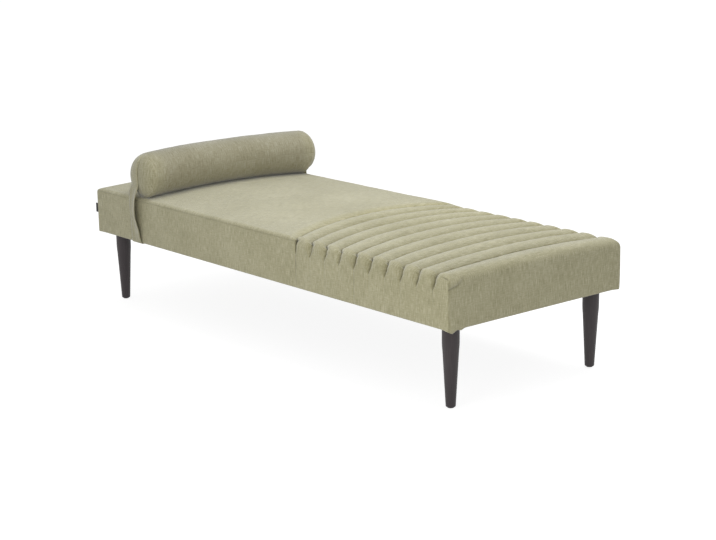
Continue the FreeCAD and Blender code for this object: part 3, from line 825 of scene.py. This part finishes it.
def makeBolster():
    mesh, uvLayer = startMesh()
    napShade = mesh.verts.layers.float.new("napAndShade")
    crossing = mesh.verts.layers.float.new("paintedCreaseShade")
    rings = bolsterRings()
    count = bolster["around"]
    corners = []
    for side, along, share in rings:
        ring = []
        for step in range(count):
            turn = 2 * math.pi * step / count
            if side == 0:
                start = bolster["nearEnd"] + domeDepth(-1, turn)
                end = bolster["farEnd"] - domeDepth(1, turn)
                point = bolsterPoint(0, start + along * (end - start), 1, turn)
            else:
                point = bolsterPoint(side, along, share, turn)
            fromEnd = fromEnds(point.y)
            fromSeam = fromEnd - bolster["seamFromEnd"]
            seam = math.exp(-((fromSeam / bolster["seamWidth"]) ** 2)) * (share > 0.9)
            wave = math.sin(turn * 23 + 2.4 * math.sin(turn * 5))
            pucker = math.exp(-abs(fromSeam) / bolster["puckerReach"]) * bolster["puckers"] * wave
            lumps = sum(depth * noise.noise(point * size) for size, depth in bolster["lumps"])
            outward = Vector((math.cos(turn), 0, math.sin(turn)))
            amount = (pucker + lumps - bolster["seamSink"] * seam) * min(share * 1.4, 1)
            if math.sin(turn) < bolster["calmUnder"]:
                amount *= 0.2
            vertex = mesh.verts.new(point + outward * amount)
            # Painted shade: darker tone inwards from the ends, partly for the turned nap; the ends are
            # painted lighter
            napShadeRamp = min(max((fromEnd - bolster["napShadeFrom"]) / bolster["napShadeOver"], 0), 1) * (share > 0.5)
            vertex[napShade] = bolster["endNapShade"] + (1 - bolster["endNapShade"]) * napShadeRamp
            # Painted shade along the disc's seam
            vertex[crossing] = bolster["seamShade"] * seam
            ring.append(vertex)
        corners.append(ring)
    length = 2 * math.pi * bolster["radius"]
    for i in range(len(rings) - 1):
        for j in range(count):
            k = (j + 1) % count
            around = [(i, j, j), (i, k, j + 1), (i + 1, k, j + 1), (i + 1, j, j)]
            face = mesh.faces.new([corners[a][b] for a, b, place in around])
            face.smooth = True
            flat = rings[i][0] and rings[i][2] < bolster["discShare"]
            for loop, (a, b, place) in zip(face.loops, around):
                spot = corners[a][b].co
                loop[uvLayer].uv = (spot.x, spot.z) if flat else (spot.y, length * place / count)
    for i, y in ((0, endPlace(-1)), (len(rings) - 1, endPlace(1))):
        pole = mesh.verts.new((bolster["axisX"], y, axisHeight(y)))
        pole[napShade] = bolster["endNapShade"]
        for j in range(count):
            k = (j + 1) % count
            ring = [pole, corners[i][k], corners[i][j]] if i == 0 else [pole, corners[i][j], corners[i][k]]
            face = mesh.faces.new(ring)
            face.smooth = True
            for loop in face.loops:
                loop[uvLayer].uv = (loop.vert.co.x, loop.vert.co.z)
    bmesh.ops.recalc_face_normals(mesh, faces=mesh.faces)
    return finishObject("bolster_roll", mesh, sageCloth)


bolsterRoll = makeBolster()
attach(bolsterRoll, "bolster")
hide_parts("bolster_core", "bolster_cover", "bolster_end_near", "bolster_end_far")
print("bolster")


# Strap: one band, sewn to both discs up to their rims, round under the platform; its edges hang differently
strap = {
    "width": 0.060, "thickness": 0.0024, "centreX": -0.684, "low": 0.2584, "corner": 0.3785,
    "heights": (0.281, 0.312, 0.330, 0.349, 0.374, 0.397, 0.420, 0.436, 0.450),
    "footEdge": (0.3850, 0.3915, 0.3970, 0.4020, 0.4060, 0.4065, 0.4040, 0.3985, 0.3935),
    "headEdge": (0.3795, 0.3805, 0.3815, 0.3825, 0.384, 0.3845, 0.3845, 0.3835, 0.3815),
    "farHang": 0.35, "onDisc": 0.472, "rimShare": 0.955, "standOff": 0.0018, "flare": 2.2,
    "underInset": 0.004, "napShade": 0.15, "sideSteps": 96, "underSteps": 150, "linesAcross": 13,
    "restsAbove": 0.43, "waveFrom": 0.27, "waveTo": 0.44, "wave": 0.0011,
}


def discSurface(side, x, z):
    # How far out the bolster's domed end lies at this place
    end = endPlace(side)
    height = axisHeight(end)
    turn = math.atan2(z - height, x - bolster["axisX"])
    share = math.hypot(x - bolster["axisX"], z - height) / (bolster["radius"] + 0.0008)
    along = max(1 - min(share, 1) ** bolster["domePower"], 0) ** (1 / bolster["domePower"])
    return abs(end) - domeDepth(side, turn) * (1 - along)


def smoothThrough(points, count):
    # Catmull-Rom curve through a few points, as evenly spaced points
    points = [2 * points[0] - points[1]] + points + [2 * points[-1] - points[-2]]
    dense = []
    for a, b, c, d in zip(points, points[1:], points[2:], points[3:]):
        for number in range(12):
            t = number / 12
            square, cube = 2 * a - 5 * b + 4 * c - d, 3 * b - a - 3 * c + d
            dense.append(0.5 * (2 * b + (c - a) * t + square * t**2 + cube * t**3))
    dense.append(points[-2])
    dense = np.array(dense)
    run = np.concatenate([[0], np.cumsum(np.linalg.norm(np.diff(dense, axis=0), axis=1))])
    places = np.linspace(0, run[-1], count)
    even = [np.interp(places, run, dense[:, column]) for column in (0, 1)]
    return np.stack(even, axis=1), run[-1]


def strapSide(x, share, side):
    # From the underside's corner, up the hanging part and over the disc to its rim
    foot, head = np.array(strap["footEdge"]), np.array(strap["headEdge"])
    out = head + (foot - head) * ((share + 1) / 2) ** strap["flare"]
    if side > 0:
        out = strap["corner"] + (out - strap["corner"]) * strap["farHang"]
    across = x - bolster["axisX"]
    rim = axisHeight(side * 0.38) + math.sqrt((bolster["radius"] * strap["rimShare"]) ** 2 - across**2)
    corner, low, inset = strap["corner"], strap["low"], strap["underInset"]
    points = [np.array((corner - inset, low)), np.array((corner, low + inset))]
    points += list(np.stack([out, strap["heights"]], axis=1))
    for z in np.linspace(strap["onDisc"], rim, 9):
        points.append(np.array((discSurface(side, x, z) + strap["standOff"], z)))
    return smoothThrough(points, strap["sideSteps"])


def makeStrap():
    mesh, uvLayer = startMesh()
    across = strap["linesAcross"]
    flatReach = strap["corner"] - strap["underInset"]
    under = np.linspace(-flatReach, flatReach, strap["underSteps"])[1:-1]
    lines = []
    length = 0
    for number in range(across):
        share = number / (across - 1) * 2 - 1
        x = strap["centreX"] + share * strap["width"] / 2
        near, nearRun = strapSide(x, share, -1)
        far, farRun = strapSide(x, share, 1)
        line = [Vector((x, -y, z)) for y, z in near[::-1]]
        line += [Vector((x, y, strap["low"])) for y in under]
        line += [Vector((x, y, z)) for y, z in far]
        for point in line:
            side = 1 if point.y > 0 else -1
            if point.z > strap["restsAbove"]:
                least = discSurface(side, x, point.z) + strap["standOff"]
                if abs(point.y) < least:
                    point.y = side * least
            if strap["waveFrom"] < point.z < strap["waveTo"]:
                point.y += strap["wave"] * noise.noise(Vector((share * 1.7, point.z * 21, point.y * 3)))
        lines.append(line)
        length = max(length, nearRun + farRun + 2 * flatReach)
    places = np.array([[tuple(point) for point in line] for line in lines])
    rows = np.linspace(0, length, places.shape[1])
    threads = np.stack([places[:, :, 0], np.tile(rows, (across, 1))], axis=2)
    addGrid(mesh, uvLayer, places, threads, True)
    # The strap's cloth a little darker and bluer, partly for its nap and partly as painted shade
    napShade = mesh.verts.layers.float.new("napAndShade")
    for vertex in mesh.verts:
        vertex[napShade] = strap["napShade"]
    item = finishObject("bolster_strap_band", mesh, sageCloth)
    return thickened(item, strap["thickness"], even=True), length


strapBand, strapLength = makeStrap()
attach(strapBand, "bolster")
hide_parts("bolster_strap")
print("strap", round(strapLength, 3))


# Dust cloth under the frame
dustCloth = {
    "halfX": 0.9465, "halfY": 0.3715, "height": 0.26085, "thickness": 0.0008, "legX": 0.888,
    "legY": 0.308, "holeReach": 0.008, "rails": (-0.92, -0.47, 0, 0.47, 0.92), "slackY": 0.331,
    "slack": 0.0022, "stapleInset": 0.009,
}


def makeDustCloth():
    mesh, uvLayer = startMesh()
    xs = np.linspace(-dustCloth["halfX"], dustCloth["halfX"], 236)
    ys = np.linspace(-dustCloth["halfY"], dustCloth["halfY"], 94)
    places = np.array([[(x, y, dustCloth["height"]) for x in xs] for y in ys])
    addGrid(mesh, uvLayer, places, places[:, :, :2], True)
    legX, legY = dustCloth["legX"], dustCloth["legY"]
    legPlaces = [Vector((sx * legX, sy * legY)) for sx in (-1, 1) for sy in (-1, 1)]
    near = [
        face for face in mesh.faces
        if min((face.calc_center_median().xy - leg).length for leg in legPlaces) < dustCloth["holeReach"]
    ]
    bmesh.ops.delete(mesh, geom=near, context="FACES")
    for vertex in mesh.verts:
        # Slack only in the open bays between the rails
        bay = min(abs(vertex.co.x - rail) for rail in dustCloth["rails"]) - 0.014
        side = dustCloth["slackY"] - abs(vertex.co.y)
        slack = min(max(min(bay, side), 0) / 0.06, 1)
        vertex.co.z += dustCloth["slack"] * slack * (0.6 + 0.8 * noise.noise(vertex.co * 11))
    return thickened(finishObject("dust_cover_cloth", mesh, blackCloth), dustCloth["thickness"])


dustCover = makeDustCloth()
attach(dustCover, "platform")
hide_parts("dust_cloth")
print("dust cloth")


# Blank folded tag in the head end's corner seam
tag = {
    "place": (-0.9475, -0.372), "low": 0.331, "height": 0.034, "reach": 0.013, "fold": 0.0022,
    "thickness": 0.0006,
}


def makeTag():
    mesh, uvLayer = startMesh()
    reach, fold = tag["reach"], tag["fold"] / 2
    turns = [math.pi * step / 8 - math.pi / 2 for step in range(9)]
    out = [(reach * step / 9, -fold) for step in range(9)]
    out += [(reach + fold * math.cos(turn), fold * math.sin(turn)) for turn in turns]
    out += [(reach * step / 9, fold) for step in range(8, -1, -1)]
    x, y = tag["place"]
    levels = [tag["low"] + tag["height"] * level / 10 for level in range(11)]
    places = np.array([[(x - along, y + beside - along * 0.12, z) for along, beside in out] for z in levels])
    addGrid(mesh, uvLayer, places, places[:, :, [0, 2]], False)
    return thickened(finishObject("blank_tag", mesh, tagRibbon), tag["thickness"])


blankTag = makeTag()
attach(blankTag, "platform")
print("tag")


# Stitches along the seams and staples along the dust cloth's edge, set out along their paths
sewing = {"pitch": 0.0058, "length": 0.0040, "radius": 0.00042, "sides": 6, "wander": 0.00025, "seed": 4}
stapling = {"pitch": 0.045, "length": 0.010, "radius": 0.00045, "sides": 5, "wander": 0.0012, "seed": 9}


rodInputs = {
    "pitch": "Float", "length": "Float", "radius": "Float", "sides": "Int",
    "wander": "Float", "seed": "Int", "finish": "Material",
}


def alongPathTree():
    # A short rod at every pitch along each path, turned with the path, a little out of line
    tree = bpy.data.node_groups.new("RodsAlongPath", "GeometryNodeTree")
    face = tree.interface
    face.new_socket("Geometry", in_out="INPUT", socket_type="NodeSocketGeometry")
    sockets = {}
    for name, kind in rodInputs.items():
        sockets[name] = face.new_socket(name, in_out="INPUT", socket_type="NodeSocket" + kind).identifier
    face.new_socket("Geometry", in_out="OUTPUT", socket_type="NodeSocketGeometry")
    start = addNode(tree, "NodeGroupInput").outputs

    def made(kind, inputs, **settings):
        return addNode(tree, kind, inputs, **settings).outputs

    path = made("GeometryNodeMeshToCurve", {"Mesh": start["Geometry"]})
    points = made("GeometryNodeCurveToPoints", {"Curve": path[0], "Length": start["pitch"]}, mode="LENGTH")
    sizes = {"Vertices": start["sides"], "Radius": start["radius"], "Depth": start["length"]}
    rod = made("GeometryNodeMeshCylinder", sizes, fill_type="TRIANGLE_FAN")
    aimed = made("FunctionNodeAlignEulerToVector", {"Vector": points["Tangent"]}, axis="Z")
    parts = {"Points": points["Points"], "Instance": rod["Mesh"], "Rotation": aimed[0]}
    placed = made("GeometryNodeInstanceOnPoints", parts)
    wander = start["wander"]
    minus = calculated(tree, "MULTIPLY", wander, -1.0)
    low = made("ShaderNodeCombineXYZ", {0: minus, 1: minus, 2: 0.0})
    high = made("ShaderNodeCombineXYZ", {0: wander, 1: wander, 2: 0.0})
    shift = addNode(tree, "FunctionNodeRandomValue", {"Seed": start["seed"]}, data_type="FLOAT_VECTOR")
    tree.links.new(low[0], shift.inputs[0])
    tree.links.new(high[0], shift.inputs[1])
    moved = made("GeometryNodeTranslateInstances", {"Instances": placed[0], "Translation": shift.outputs[0]})
    real = made("GeometryNodeRealizeInstances", {"Geometry": moved[0]})
    finished = made("GeometryNodeSetMaterial", {"Geometry": real[0], "Material": start["finish"]})
    addNode(tree, "NodeGroupOutput", {"Geometry": finished[0]})
    return tree, sockets


def rodsAlong(name, paths, sizes, finish):
    data = bpy.data.meshes.new(name)
    points, edges = [], []
    for path in paths:
        first = len(points)
        points += [tuple(point) for point in path]
        edges += [(first + step, first + step + 1) for step in range(len(path) - 1)]
    data.from_pydata(points, edges, [])
    item = addObject(name, data)
    rods = item.modifiers.new("Rods", "NODES")
    rods.node_group = rodTree
    for key, value in {**sizes, "finish": finish}.items():
        rods[rodSockets[key]] = value
    applied(item)
    item.data.polygons.foreach_set("material_index", [0] * len(item.data.polygons))
    item.data.materials.clear()
    item.data.materials.append(finish)
    return item


def onSurface(item, points, lift):
    # Each point goes to the piece's nearest surface and stands off it a little
    found = []
    for point in points:
        _, spot, normal, _ = item.closest_point_on_mesh(point)
        found.append(spot + normal * lift)
    return found


rodTree, rodSockets = alongPathTree()
seamPaths = []
seamFloor = topEdge - (platform["channelDepth"] + platform["grooveDepth"])
for number in range(seamCount):
    line = []
    for y in np.linspace(-0.350, 0.350, 70):
        line.append(Vector((seamAt(number, y), y, seamFloor + float(crownLift(0.5, y)))))
    seamPaths.append(onSurface(channelledPad, line, sewing["radius"] * 0.4))
seamStitches = rodsAlong("seam_stitches", seamPaths, sewing, threadFinish)
ringPaths = []
reach = bolster["radius"] * 0.985
for side in (-1, 1):
    y = endPlace(side) - side * (bolster["seamFromEnd"] + 0.0035)
    ring = []
    for step in range(161):
        turn = 2 * math.pi * step / 160
        ring.append(Vector((
            bolster["axisX"] + reach * math.cos(turn), y, axisHeight(y) + reach * math.sin(turn),
        )))
    ringPaths.append(onSurface(bolsterRoll, ring, sewing["radius"] * 0.3))
discStitches = rodsAlong("disc_stitches", ringPaths, sewing, threadFinish)
halfX, halfY = (dustCloth[key] - dustCloth["stapleInset"] for key in ("halfX", "halfY"))
corners = [(-halfX, -halfY), (halfX, -halfY), (halfX, halfY), (-halfX, halfY), (-halfX, -halfY)]
staplePath = [Vector((x, y, dustCloth["height"] - 0.0006)) for x, y in corners]
clothStaples = rodsAlong("cloth_staples", [staplePath], stapling, zincSteel)
for item, body, slot in (
    (seamStitches, "platform", "upholstery_fabric"),
    (discStitches, "bolster", "upholstery_fabric"),
    (clothStaples, "platform", "zinc_steel"),
):
    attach(item, body)
    print(item.name, len(item.data.polygons))
